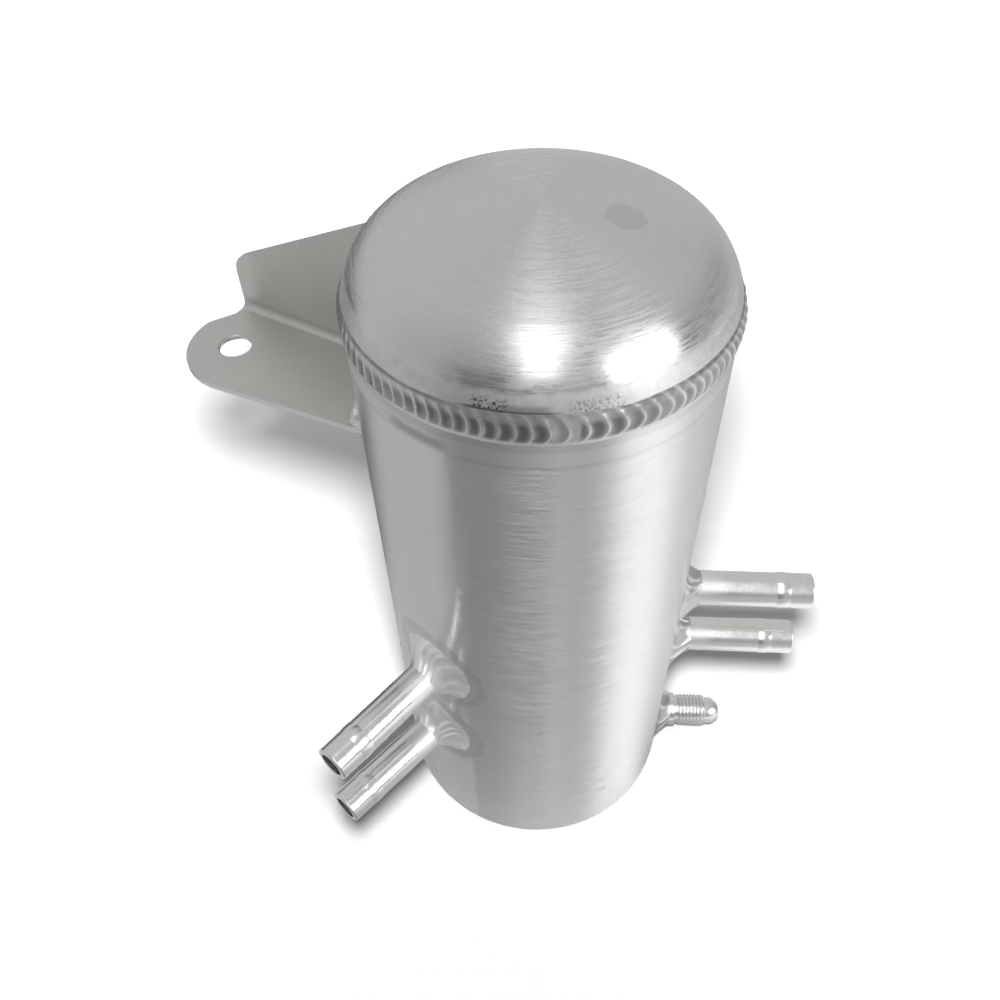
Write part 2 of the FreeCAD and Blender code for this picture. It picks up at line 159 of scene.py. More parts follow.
# Colours
aluminium_tint = (0.80, 0.80, 0.795, 1.0)
bead_tint = (0.86, 0.86, 0.865, 1.0)
fillet_tint = (0.97, 0.97, 0.965, 1.0)
tail_tint = (0.95, 0.945, 0.93, 1.0)
bracket_tint = (0.70, 0.70, 0.68, 1.0)
plain_tint = (0.70, 0.70, 0.70, 1.0)
soot_tint = (0.10, 0.10, 0.115, 1.0)
stain_tint = (0.36, 0.35, 0.32, 1.0)
white = (1.0, 1.0, 1.0, 1.0)

# Below, heights and widths in materials are in millimetres, and turns are azimuths in degrees. A pair is
# where a soft edge begins and ends, or the two ends of a zone

# Brushing of the tube and the cap: waves per millimetre along the lines and across them, and their shares
fine_along = 0.13
fine_share = 0.65
medium_along = 0.06
medium_across = 1.2
medium_share = 0.35
brushed_light = 0.98
fine_to_rough = (0.35, 0.65)
brush_rotation = 0.25

# Tube
tube_fine_across = 3.2
tube_contrast = 0.42
tube_anisotropy = 0.94
tube_relief = 0.03 * mm
tube_rough_brushed = (0.34, 0.58)
tube_rough_plain = (0.22, 0.32)
tube_rough_matt = 0.44
band_edge = (seam - 10.9, seam - 9.4)
band_line = (seam - 10.7, seam - 10.2)
# Painted shade on the tube just below the top bead: where it starts, and where it is full up to the bead
shade_below_bead_edge = (bead_foot - 2.4, bead_foot - 1.6)
patch_edge = (12.5, 17.5)
patch_line = (15.0, 15.6)
patch_dark = 0.03
# How much the dark lines darken the tube: the band's edge line, the painted shade below the bead, and the line
# within each heat patch's edge
line_dark = 0.10
plain_side = (180.0, 240.0)
stain_foot = (180.5, 182.0)
stain_head = (183.0, 184.5)
stain_turn = (226.0, 238.0)
stain_share = 0.55

# Cap
cap_fine_across = 3.0
cap_contrast = 0.14
cap_anisotropy = 0.75
cap_relief = 0.055 * mm
cap_rough = (0.20, 0.42)
cap_rough_rim = 0.50
cap_rim_edge = (seam + 7.2, seam + 8.4)
mark_place = (16.9, -4.6)
mark_edge = (4.8, 5.4)
mark_dark = (0.03, 0.16)
mark_rough = 0.10
# A painted dark reflection on the cap's knuckle, left of the front highlight
dark_reflection_height = (199.5, 201.0)
dark_reflection_turn = (248.0, 256.0)
dark_reflection_level = 0.22

# Dark marks on the cap above the bead: soot specks in two clusters, a darker smear between them, and a dark line
# at the toe
soot_left_turn = (250.5, 257.5)
soot_right_turn = (276.0, 287.0)
soot_right_share = 0.5
smear_turn = (258.0, 267.0)
smear_share = 0.45
toe_line_turn = (250.0, 268.0)
toe_line_share = 0.8

# Weld metal. Painted shade darkens the hollows between ripples, most in the top bead's middle, but not at the
# front, where they are lit. Outside the middle, and on the fillets, the painted shade in the hollows has one
# tone before the crown's turn and another after it
middle_height = (bead_foot + 2.2, bead_head - 2.8)
front_lit_turn = (270.5, 276.5)
crown_turn = (280.0, 292.0)
crown_shade_tone = (0.84, 0.52)
weld_upper_edge = (bead_head - 1.0, bead_head - 0.5)
weld_lower_strip = (bead_foot - 1.0, bead_foot + 1.5)
weld_edge_rough = 0.55
weld_relief = 0.012 * mm
bead_look = {"tint": bead_tint, "hollow_shade": 0.38, "rough": (0.20, 0.38), "metal_share": 1.0}
fillet_look = {"tint": fillet_tint, "hollow_shade": 0.62, "rough": (0.26, 0.42), "metal_share": 0.94}

# Tails: heat from the weld leaves them matt and pale out to this distance from the can's axis, and above
# this height, which leaves out the drain fitting
tail_rough = (0.15, 0.30)
tail_relief = 0.035 * mm
heat_edge = (53.0, 59.5)
heat_height = (25.0, 30.0)
heat_pale = 0.04
heat_rough = 0.20

# Sheet, and the bracket's painted shade and highlights, which are added to its light
bracket_rough = (0.42, 0.52)
plain_rough = (0.40, 0.50)
sheet_relief = 0.02 * mm
# Painted shade along the bend, and painted highlights on the flange's outer end and on the front-facing cut edge
crease_shade = -0.10
flange_end_highlight = 0.12
cut_edge_highlight = 0.30

# Room that metal sees: azimuths where each part of it fades in and fades out. The bright part's azimuths
# are counted from the left, so that they don't pass 360
dark_room = (205, 226, 268, 280)
dim_room = (276, 290, 300, 320)
bright_room = (121, 146, 174, 226)
rear_room = (100.0, 147.0)
rear_soft = 12.0
dark_level = -0.27
dim_level = -0.05
bright_level = 0.52
rear_level = -0.42

# The room's level on the floor: close to the can and away from it, how much of the parts' levels counts at
# both, and darker sectors close to the can, where x is this share of the distance from its axis
away_from_can = (45.0, 130.0)
room_level = (0.66, 0.54)
room_share = (0.4, 1.0)
close_to_can = (50.0, 95.0)
right_sector = (0.75, 0.95)
right_sector_dark = 0.45
left_sector = (-0.95, -0.70)
left_sector_dark = 0.25

# The walls' level in front and behind, and what the dark part and the low right take off
wall_level = (0.43, 0.54)
wall_dark = 0.20


# Small tools


def new_object(name, data):
    piece = bpy.data.objects.new(name, data)
    bpy.context.scene.collection.objects.link(piece)
    return piece


def ring_mesh(name, rows, rims=None):
    """A smooth mesh through a ring of rows of points, each of which is a closed loop. Rims, where given, is
    one value for each point, which a material can read."""
    across = len(rows[0])
    faces = []
    for i in range(len(rows)):
        here, there = i * across, (i + 1) % len(rows) * across
        for j in range(across):
            beside = (j + 1) % across
            faces.append((here + j, here + beside, there + beside, there + j))
    mesh = bpy.data.meshes.new(name)
    mesh.from_pydata([tuple(point) for row in rows for point in row], [], faces)
    if rims is not None:
        values = mesh.attributes.new("rim", "FLOAT", "POINT")
        values.data.foreach_set("value", [value for row in rims for value in row])
    mesh.validate()
    mesh.shade_smooth()
    return mesh


def make_piece(name, mesh, material, replaced):
    piece = new_object(name, mesh)
    mesh.materials.append(material)
    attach(piece, "root")
    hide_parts(replaced)
    return piece


def paint(node, material):
    mesh = nodes[node].data
    mesh.materials.clear()
    mesh.materials.append(material)


# Materials


class Nodes:
    """A short way to write a node tree."""

    def __init__(self, tree):
        self.tree = tree
        tree.nodes.clear()

    def add(self, kind, **inputs):
        node = self.tree.nodes.new(kind)
        for key, value in inputs.items():
            self.put(node, key, value)
        return node

    def put(self, node, key, value):
        """Set or link an input, by its name, or by its number, such as i2."""
        name = key.replace("_", " ")
        socket = node.inputs[int(key[1:])] if key[0] == "i" and key[1:].isdigit() else node.inputs[name]
        if isinstance(value, bpy.types.NodeSocket):
            self.tree.links.new(value, socket)
        else:
            socket.default_value = value

    def math(self, operation, *values):
        node = self.tree.nodes.new("ShaderNodeMath")
        node.operation = operation
        for index, value in enumerate(values):
            self.put(node, "i%d" % index, value)
        return node.outputs[0]

    def plus(self, first, second):
        return self.math("ADD", first, second)

    def minus(self, first, second):
        return self.math("SUBTRACT", first, second)

    def times(self, first, *others):
        for other in others:
            first = self.math("MULTIPLY", first, other)
        return first

    def most(self, first, second):
        return self.math("MAXIMUM", first, second)

    def swing(self, value, width):
        """A 0 to 1 value as a swing to both sides of 0."""
        return self.times(self.minus(value, 0.5), width)

    def along(self, x, y, direction):
        """How far a place lies along a level direction."""
        return self.plus(self.times(x, direction[0]), self.times(y, direction[1]))

    def square(self, x, y):
        return self.plus(self.times(x, x), self.times(y, y))

    def ramp(self, value, low, high, reverse=False):
        """A smooth step from 0 at low to 1 at high, or from 1 to 0."""
        node = self.tree.nodes.new("ShaderNodeMapRange")
        node.interpolation_type = "SMOOTHSTEP"
        self.put(node, "Value", value)
        self.put(node, "From_Min", low)
        self.put(node, "From_Max", high)
        self.put(node, "To_Min", 1.0 if reverse else 0.0)
        self.put(node, "To_Max", 0.0 if reverse else 1.0)
        return node.outputs[0]

    def window(self, value, low, high, soft):
        """1 between low and high, with soft ends outside them."""
        return self.times(self.ramp(value, low - soft, low), self.ramp(value, high, high + soft, reverse=True))

    def spread(self, value, low, high):
        """A 0 to 1 value spread linearly from low to high."""
        return self.add("ShaderNodeMapRange", Value=value, To_Min=low, To_Max=high).outputs[0]

    def blend(self, share, first, second):
        return self.add("ShaderNodeMix", i0=share, i2=first, i3=second).outputs[0]

    def mix(self, share, first, second):
        """As blend, for colours."""
        node = self.tree.nodes.new("ShaderNodeMix")
        node.data_type = "RGBA"
        self.put(node, "i0", share)
        self.put(node, "i6", first)
        self.put(node, "i7", second)
        return node.outputs[2]

    def grey(self, light):
        return self.add("ShaderNodeCombineColor", Red=light, Green=light, Blue=light).outputs[0]

    def tinted(self, tint, light):
        """A colour times a grey value."""
        result = self.mix(1.0, tint, self.grey(light))
        result.node.blend_type = "MULTIPLY"
        return result

    def vector(self, x, y, z):
        return self.add("ShaderNodeCombineXYZ", X=x, Y=y, Z=z).outputs[0]

    def noise(self, vector, scale, detail=2.0, roughness=0.5):
        node = self.add("ShaderNodeTexNoise", Vector=vector, Scale=scale, Detail=detail, Roughness=roughness)
        return node.outputs["Fac"]

    def place(self):
        """The point in millimetres, its x, y and z, and its distance from the can's axis."""
        scaled = self.tree.nodes.new("ShaderNodeVectorMath")
        scaled.operation = "SCALE"
        self.put(scaled, "i0", self.add("ShaderNodeTexCoord").outputs["Object"])
        self.put(scaled, "Scale", 1 / mm)
        x, y, z = self.add("ShaderNodeSeparateXYZ", Vector=scaled.outputs[0]).outputs
        return scaled.outputs[0], x, y, z, self.math("SQRT", self.square(x, y))

    def near_axis(self, x, y, z, mount):
        """Distance from the axis of a mount that stands out of the can. Behind the can it is far."""
        axis = Vector(mount["axis"])
        across = self.along(x, y, (-axis.y, axis.x))
        up = self.minus(z, mount["pos_m"][2] / mm)
        behind = self.math("LESS_THAN", self.along(x, y, axis), 0.0)
        return self.plus(self.math("SQRT", self.square(across, up)), self.times(behind, 1000.0))

    def turn(self, x, y):
        """The azimuth of a place, from 0 to 360 degrees."""
        angle = self.plus(self.math("ARCTAN2", y, x), 2 * math.pi)
        return self.times(self.math("MODULO", angle, 2 * math.pi), 180 / math.pi)

    def bump(self, height, distance):
        return self.add("ShaderNodeBump", Height=height, Distance=distance, Strength=1.0).outputs[0]

    def brushed_look(self, stretch):
        """Inputs that stretch highlights across lines that run round the can."""
        tangent = self.tree.nodes.new("ShaderNodeTangent")
        tangent.direction_type = "RADIAL"
        tangent.axis = "Z"
        return {"Anisotropic": stretch, "Anisotropic_Rotation": brush_rotation, "Tangent": tangent.outputs[0]}

    def metal(self, tint, rough, normal, share=1.0, **others):
        """The material's surface. Share is how far it is a metal."""
        self.finish(self.add(
            "ShaderNodeBsdfPrincipled", Base_Color=tint, Metallic=share, Roughness=rough, Normal=normal, **others
        ))

    def join(self, kind, first, second):
        """Two shaders as one, by a node whose last two inputs are shaders."""
        node = self.tree.nodes.new(kind)
        self.put(node, "i%d" % (len(node.inputs) - 2), first.outputs[0])
        self.put(node, "i%d" % (len(node.inputs) - 1), second.outputs[0])
        return node

    def finish(self, shader, kind="ShaderNodeOutputMaterial"):
        self.add(kind, Surface=shader.outputs[0])


def new_material(name):
    material = bpy.data.materials.new(name)
    material.use_nodes = True
    return material, Nodes(material.node_tree)


def brushed_lines(n, x, y, across, fine_across):
    """Fine and medium lines that run round the can, each from 0 to 1. Across is the place across them."""
    fine_place = n.vector(n.times(x, fine_along), n.times(y, fine_along), n.times(across, fine_across))
    medium_place = n.vector(n.times(x, medium_along), n.times(y, medium_along), n.times(across, medium_across))
    return n.noise(fine_place, 1.0, 4.0, 0.7), n.noise(medium_place, 1.0, 3.0, 0.6)


def lined_light(n, fine, medium, brushed, contrast):
    """Lighter and darker lines where the metal is brushed."""
    lines = n.plus(n.times(fine, fine_share), n.times(medium, medium_share))
    return n.plus(brushed_light, n.times(n.minus(lines, 0.5), brushed, contrast))


def heat_patches(n, x, y, z, wander):
    """Matt metal round each tail, and a thin dark line within its edge."""
    patches = 0.0
    line = 0.0
    for weld in tail_welds:
        distance = n.plus(n.near_axis(x, y, z, mounts[weld.mount]), wander)
        patches = n.most(patches, n.ramp(distance, *patch_edge, reverse=True))
        line = n.most(line, n.window(distance, *patch_line, 1.4))
    return patches, line


def tube_material():
    """Tube brushed round its girth. It is matt from heat under the top bead and round each tail, smooth on
    the left side, which was never brushed, and stained brown-grey at the front left. Painted shade
    darkens it just below the top bead."""
    material, n = new_material("brushed_tube")
    place, x, y, z, _ = n.place()
    turn = n.turn(x, y)
    fine, medium = brushed_lines(n, x, y, z, tube_fine_across)
    wander = n.swing(n.noise(place, 0.22), 5.0)
    edge = n.plus(z, n.times(wander, 0.25))

    patches, patch_lines = heat_patches(n, x, y, z, wander)
    matt = n.most(n.ramp(edge, *band_edge), patches)
    plain = n.window(n.plus(turn, n.times(wander, 0.8)), *plain_side, 3.0)
    brushed = n.minus(1.0, n.most(matt, plain))

    # Painted shade just below the top bead
    shade_below_bead = n.ramp(n.plus(z, n.times(wander, 0.5)), *shade_below_bead_edge)
    dark_lines_and_bead_shade = n.most(n.most(n.window(edge, *band_line, 0.5), shade_below_bead), patch_lines)
    light = lined_light(n, fine, medium, brushed, tube_contrast)
    light = n.times(light, n.minus(1.0, n.times(patches, patch_dark)))
    light = n.times(light, n.minus(1.0, n.times(dark_lines_and_bead_shade, line_dark)))
    stain = n.times(n.ramp(z, *stain_foot), n.ramp(edge, *stain_head, reverse=True))
    stain = n.times(stain, n.window(turn, *stain_turn, 6.0), stain_share)
    tint = n.mix(stain, n.tinted(aluminium_tint, light), stain_tint)

    smooth = n.blend(matt, n.spread(n.noise(place, 0.05), *tube_rough_plain), tube_rough_matt)
    rough = n.blend(brushed, smooth, n.blend(n.ramp(fine, *fine_to_rough), *tube_rough_brushed))
    height = n.times(n.plus(n.times(fine, 0.6), medium), brushed)
    waves = n.times(n.noise(place, 0.3, 3.0), matt, 0.8)
    n.metal(tint, rough, n.bump(n.plus(height, waves), tube_relief), **n.brushed_look(tube_anisotropy))
    return material


def cap_soot_smear_and_toe_line(n, place, turn, z):
    """Specks above the bead in two clusters at the front, a soft smear between them and a line at its toe."""
    specks = n.ramp(n.noise(place, 1.5, 4.0, 0.75), 0.50, 0.56)
    height = n.window(z, bead_head + 0.1, bead_head + 1.6, 1.6)
    right = n.times(n.window(turn, *soot_right_turn, 3.0), soot_right_share)
    soot = n.times(specks, height, n.plus(n.window(turn, *soot_left_turn, 2.5), right))
    smear = n.times(n.window(z, bead_head, bead_head + 0.9, 1.3), n.window(turn, *smear_turn, 5.0))
    at_toe = n.ramp(z, bead_head + 0.3, bead_head + 0.7, reverse=True)
    line = n.times(at_toe, n.window(turn, *toe_line_turn, 6.0), toe_line_share)
    return n.most(n.most(soot, n.times(smear, smear_share)), line)


def cap_material():
    """Cap brushed in circles, with a dull round mark on its crown, a matt rim above the bead, soot specks, a
    dark smear and toe line above the bead, and a painted dark reflection at the front left.
    """
    material, n = new_material("brushed_cap")
    place, x, y, z, out = n.place()
    turn = n.turn(x, y)
    fine, medium = brushed_lines(n, x, y, out, cap_fine_across)

    mark_far = n.math("SQRT", n.square(n.minus(x, mark_place[0]), n.minus(y, mark_place[1])))
    mark = n.ramp(n.plus(mark_far, n.times(n.noise(place, 0.5), 1.5)), *mark_edge, reverse=True)
    rim = n.ramp(n.plus(z, n.swing(n.noise(place, 0.35, 3.0), 3.0)), *cap_rim_edge, reverse=True)
    brushed = n.minus(1.0, n.most(n.times(mark, 0.6), rim))

    light = lined_light(n, fine, medium, brushed, cap_contrast)
    light = n.minus(light, n.times(mark, n.spread(n.noise(place, 1.6, 3.0), *mark_dark)))
    clouds = n.times(rim, n.swing(n.noise(place, 0.6, 3.0), 0.35))
    # Painted dark reflection on the knuckle at the front left
    dark_reflection = n.times(n.window(z, *dark_reflection_height, 1.5), n.window(turn, *dark_reflection_turn, 4.0))
    light = n.minus(n.plus(light, clouds), n.times(dark_reflection, dark_reflection_level))
    tint = n.mix(cap_soot_smear_and_toe_line(n, place, turn, z), n.tinted(aluminium_tint, light), soot_tint)

    rough = n.blend(n.ramp(fine, *fine_to_rough), *cap_rough)
    rough = n.blend(rim, n.plus(rough, n.times(mark, mark_rough)), cap_rough_rim)
    height = n.times(n.plus(n.times(fine, 0.8), n.times(medium, 0.4)), brushed)
    n.metal(tint, rough, n.bump(n.plus(height, clouds), cap_relief), **n.brushed_look(cap_anisotropy))
    return material


def weld_material(name, tint, hollow_shade, rough, metal_share):
    """Weld metal: painted shade makes the hollows between its ripples' rims darker than the rims. The middle
    tone is that of the painted shade in the top bead's hollows, and the bead's edges are dull."""
    material, n = new_material(name)
    place, x, y, z, _ = n.place()
    turn = n.turn(x, y)
    cloud = n.noise(place, 0.5, 3.0, 0.6)
    rim = n.tree.nodes.new("ShaderNodeAttribute")
    rim.attribute_name = "rim"

    # Painted shade in the hollows between ripples: a tone set by the rim height, darkest in the top bead's
    # middle, and changing at the crown's turn
    hollow = n.plus(n.spread(n.noise(place, 0.16), -0.20, 0.20), hollow_shade)
    middle = n.times(n.window(z, *middle_height, 1.6), n.minus(1.0, n.window(turn, *front_lit_turn, 1.0)))
    hollow = n.blend(middle, n.blend(n.ramp(turn, *crown_turn), *crown_shade_tone), hollow)
    light = n.times(n.spread(cloud, 0.76, 1.04), n.blend(n.ramp(rim.outputs["Fac"], 0.0, 1.0), hollow, 1.0))

    upper = n.ramp(z, *weld_upper_edge)
    light = n.times(light, n.minus(1.0, n.times(upper, n.spread(n.noise(place, 0.3), 0.15, 0.6))))
    lower = n.window(n.plus(z, n.times(n.noise(place, 0.9), 1.2)), *weld_lower_strip, 0.6)
    light = n.blend(n.times(lower, 0.7), light, 1.1)

    edges = n.most(upper, n.times(lower, 0.6))
    dull = n.blend(edges, n.spread(cloud, *rough), weld_edge_rough)
    grain = n.noise(place, 5.0, 3.0, 0.6)
    normal = n.bump(n.plus(grain, n.times(cloud, 2.0)), weld_relief)
    n.metal(n.tinted(tint, light), dull, normal, metal_share)
    return material


def tail_material():
    """Bright drawn tube: small dings and dull spots, and matt pale metal beside its weld."""
    material, n = new_material("bright_tail")
    place, _, _, z, out = n.place()
    cloud = n.noise(place, 0.35, 3.0, 0.6)
    heat = n.ramp(n.plus(out, n.swing(cloud, 7.0)), *heat_edge, reverse=True)
    heat = n.times(heat, n.ramp(z, *heat_height))
    light = n.plus(n.spread(cloud, 0.88, 1.0), n.times(heat, heat_pale))
    rough = n.plus(n.spread(cloud, *tail_rough), n.times(heat, heat_rough))
    grain = n.times(n.noise(place, 2.4, 3.0, 0.6), 0.03)
    n.metal(n.tinted(tail_tint, light), rough, n.bump(n.plus(cloud, grain), tail_relief))
    return material


def bracket_painted_light(n, x, y, z):
    """Painted light on the folded sheet: painted shade along its bend, and painted highlights on its cut edge
    and its flange's outer end.
    """
    level = bracket_level / mm
    bend = bend_side / mm
    flange_end = flange_out / mm
    away = n.along(x, y, bracket_axis)
    side = n.along(x, y, (-bracket_axis.y, bracket_axis.x))
    low_crease = n.window(side, bend, bend + 0.3, 0.7)
    low_crease = n.times(low_crease, n.ramp(z, level + 0.2, level + 0.3))
    high_crease = n.window(z, level + 2.1, level + 2.5, 0.7)
    outer = n.times(n.ramp(away, flange_end - 9.0, flange_end - 4.0), n.ramp(z, level + 3.0, level + 5.0))

    normal_x, normal_y, normal_z = n.add(
        "ShaderNodeSeparateXYZ", Vector=n.add("ShaderNodeNewGeometry").outputs["Normal"]
    ).outputs
    upright = n.ramp(n.math("ABSOLUTE", normal_z), 0.3, 0.6, reverse=True)
    front = n.ramp(n.along(normal_x, normal_y, (0.3, -0.95)), 0.3, 0.6)
    cut_edge = n.times(upright, n.math("LESS_THAN", z, level + 0.05), front)
    # Painted shade along the bend, painted highlight on the flange end and on the cut edge
    marks = n.times(n.most(low_crease, high_crease), crease_shade)
    marks = n.plus(marks, n.times(outer, flange_end_highlight))
    return n.plus(marks, n.times(cut_edge, cut_edge_highlight))


def sheet_material(name, tint, rough, with_painted_light=False):
    """Matt mill-finish sheet with faint rolling lines and clouds."""
    material, n = new_material(name)
    place, x, y, z, _ = n.place()
    cloud = n.noise(place, 0.09, 3.0, 0.6)
    grain = n.noise(n.vector(n.times(x, 0.3), n.times(y, 3.0), z), 1.0, 3.0, 0.6)
    light = n.plus(n.spread(cloud, 0.92, 1.04), n.swing(grain, 0.10))
    # On the bracket: painted shade along the bend, and painted highlights on its cut edge and flange end
    if with_painted_light:
        light = n.plus(light, bracket_painted_light(n, x, y, z))
    n.metal(n.tinted(tint, light), n.spread(cloud, *rough), n.bump(grain, sheet_relief))
    return material


# Welds


def ripple_height(turn, jitter):
    """Height of overlapping ripples: broad hollows between narrow rims. 0 in a hollow, 1 on a rim."""
    index = math.floor(turn)
    part = turn - index
    level = (2 * part ** 0.85 - 1) ** 2
    near = jitter(index)
    far = jitter(index + 1)
    return level * (near + (far - near) * part)


def ripple_jitter(seed, count, low):
    """A seeded height for each rim of a weld, from low to 1."""
    source = random.Random(seed)
    heights = [source.uniform(low, 1.0) for _ in range(count)]
    return lambda index: heights[index % count]


def uneven(turn, phase, count, amount):
    """Ripples aren't quite evenly spaced: a smooth wander that closes on itself. Turn counts ripples."""
    turn = turn % count
    angle = 2 * math.pi * turn / count
    wander = math.sin(3 * angle + phase) + 0.7 * math.sin(5 * angle + 2.1 * phase)
    return turn + amount * wander


def bead_size(angle):
    """How wide and high the top bead is round the can, at most 1."""
    return min(1.0, 1 + 0.035 * math.sin(7 * angle + 1.0) + 0.025 * math.sin(17 * angle))


def parent_radius(rise):
    """Radius of the tube under the seam, and of the cap's knuckle above it."""
    if rise <= 0:
        return can_radius
    return knuckle_centre + math.sqrt(knuckle_radius ** 2 - rise ** 2)


def top_bead_mesh():
    count = round(2 * math.pi * can_radius / bead_pitch)
    jitter = ripple_jitter(bead_seed, count, bead_lowest_rim)
    steps = count * bead_steps_per_ripple
    rows = []
    rims = []

    def place(angle, radius, rise):
        return Vector((radius * math.cos(angle), radius * math.sin(angle), seam_height + rise))

    for i in range(steps):
        angle = 2 * math.pi * i / steps
        size = bead_size(angle)
        row = []
        heights = []
        for j in range(bead_rows + 1):
            across = 2 * j / bead_rows - 1
            swell = 1 - across ** 2
            turn = count * (angle - swell * bead_sweep / can_radius) / (2 * math.pi)
            height = ripple_height(uneven(turn, bead_phase, count, bead_unevenness), jitter)
            rise = across * bead_half * size
            lift = swell * (bead_height * size - bead_ripple * (1 - height))
            row.append(place(angle, parent_radius(rise) + max(lift, bead_deepest), rise))
            heights.append(height)
        for back in (1, -1):
            row.append(place(angle, can_radius - 2 * bury, root_share * back * bead_half))
        rows.append(row)
        rims.append(heights + [1.0, 1.0])
    mesh = ring_mesh("top_bead", rows, rims)
    mesh.set_sharp_from_angle(angle=math.radians(weld_sharp_angle))
    return mesh


def fillet_profile(share, toe, rise, swell):
    """Place across a hollow fillet: off the tail, and up from the wall. Share is 0 to 1 between toes."""
    slant = math.hypot(toe, rise)
    turn = share * math.pi / 2
    off = toe * (fillet_hollow * (1 - math.cos(turn)) + (1 - fillet_hollow) * share)
    up = rise * (fillet_hollow * (1 - math.sin(turn)) + (1 - fillet_hollow) * (1 - share))
    return off + swell * rise / slant, up + swell * toe / slant


def fillet_mesh(weld):
    """The rippled fillet all round a bar that stands out of the can."""
    mount = mounts[weld.mount]
    radius = drain_collar_radius if weld.mount == "drain_thread" else mount["dims"]["r_mm"] * mm
    axis = Vector(mount["axis"])
    side_axis = Vector((-axis.y, axis.x, 0))
    level = mount["pos_m"][2]
    jitter = ripple_jitter(weld.seed, weld.ripples, fillet_lowest_rim)
    steps = weld.ripples * fillet_steps_per_ripple
    rows = []
    rims = []

    def place(angle, off, up):
        side = (radius + off) * math.cos(angle)
        wall_out = math.sqrt(can_radius ** 2 - side ** 2)
        point = axis * (wall_out + up) + side_axis * side
        point.z = max(level + (radius + off) * math.sin(angle), drain_weld_floor_gap)
        return point

    for i in range(steps):
        angle = 2 * math.pi * i / steps
        row = [place(angle, -bury, weld.reach * root_share)]
        heights = []
        for j in range(fillet_rows + 1):
            share = j / fillet_rows
            arch = 4 * share * (1 - share)
            turn = weld.ripples * angle / (2 * math.pi) - fillet_lean * arch
            height = ripple_height(uneven(turn, weld.seed, weld.ripples, fillet_unevenness), jitter)
            dip = weld.ripple * (1 - height)
            toe = weld.leg - fillet_toe_share * dip
            rise = weld.reach - fillet_toe_share * dip
            off, up = fillet_profile(share, toe, rise, arch * (fillet_crown - fillet_crown_share * dip))
            row.append(place(angle, off, up))
            heights.append(height)
        row.append(place(angle, weld.leg * root_share, -bury))
        row.append(place(angle, -bury, -bury))
        rows.append(row)
        rims.append([1.0] + heights + [1.0, 1.0])
    mesh = ring_mesh(weld.name, rows, rims)
    mesh.set_sharp_from_angle(angle=math.radians(weld_sharp_angle))
    return mesh


# Drain fitting


def thread_cut(out, turn):
    """How deep the thread is cut at a place along the barrel. Its bottom is flat over a fifth of the pitch."""
    part = (out / drain_thread_pitch - turn) % 1.0
    return drain_thread_depth * min(1.0, max(0.0, 1.25 - 2.5 * abs(part - 0.5)))


def barrel_outline(start, end, turn):
    """The threaded barrel along one side, as distance out and radius. The thread runs out at both ends."""
    steps = round((end - start) / drain_thread_pitch * thread_steps_per_turn)
    outline = []
    for j in range(steps + 1):
        out = start + (end - start) * j / steps
        lead = min(out - start, end - out) / drain_thread_pitch
        cut = max(thread_cut(out, turn), drain_thread_depth * (1 - 2 * lead))
        outline.append((out, drain_thread_radius - cut))
    return outline


def drain_mesh():
    """The drain fitting as one turned piece, with its thread cut round the barrel."""
    mount = mounts["drain_thread"]
    axis = Vector(mount["axis"])
    side_axis = Vector((-axis.y, axis.x, 0))
    level = mount["pos_m"][2]
    collar_end = can_radius + drain_collar_length
    barrel_start = collar_end + drain_relief_length
    tip = can_radius + drain_length
    nose_start = tip - drain_nose_length
    start = [
        (can_radius - drain_spigot_depth, drain_bore_radius),
        (can_radius - drain_spigot_depth, drain_spigot_radius),
        (can_radius - 2 * bury, drain_spigot_radius),
        (can_radius - 2 * bury, drain_collar_radius),
        (collar_end - drain_collar_chamfer, drain_collar_radius),
        (collar_end, drain_collar_radius - drain_collar_chamfer),
        (collar_end, drain_relief_radius),
        (barrel_start, drain_relief_radius),
    ]
    end = [
        (nose_start, drain_nose_radius),
        (tip - drain_nose_cone, drain_nose_radius),
        (tip, drain_nose_tip_radius),
        (tip, drain_bore_radius),
    ]
    rows = []
    for i in range(thread_steps_round):
        turn = i / thread_steps_round
        angle = 2 * math.pi * turn
        row = []
        for out, radius in start + barrel_outline(barrel_start, nose_start, turn) + end:
            up = Vector((0, 0, level + radius * math.sin(angle)))
            row.append(axis * out + side_axis * radius * math.cos(angle) + up)
        rows.append(row)
    mesh = ring_mesh("drain_with_thread", rows)
    mesh.set_sharp_from_angle(angle=math.radians(thread_sharp_angle))
    return mesh


# Dressing the part


def dress_part():
    """Give every node its material."""
    paint("can_body", tube_material())
    paint("top_cap", cap_material())
    bright = tail_material()
    for name in nodes:
        if name.startswith("hose_tail"):
            paint(name, bright)
    make_piece("drain_threaded", drain_mesh(), bright, "drain_fitting")
    paint("bracket", sheet_material("bracket_sheet", bracket_tint, bracket_rough, with_painted_light=True))
    plain = sheet_material("plain_sheet", plain_tint, plain_rough)
    paint("bottom_plate", plain)
    paint("baffle_plate", plain)


def make_welds():
    bead_metal = weld_material("bead_metal", **bead_look)
    make_piece("bead_top", top_bead_mesh(), bead_metal, "top_weld_bead")
    fillet_metal = weld_material("fillet_metal", **fillet_look)
    for weld in tail_welds:
        make_piece(weld.name.replace("weld", "fillet"), fillet_mesh(weld), fillet_metal, weld.name)
    for name in other_welds:
        paint(name, fillet_metal)


# Studio


def room_part(n, turn, edges):
    """1 in one part of the room round the can, with soft edges."""
    begin, full, last, end = edges
    return n.times(n.ramp(turn, begin, full), n.ramp(turn, last, end, reverse=True))


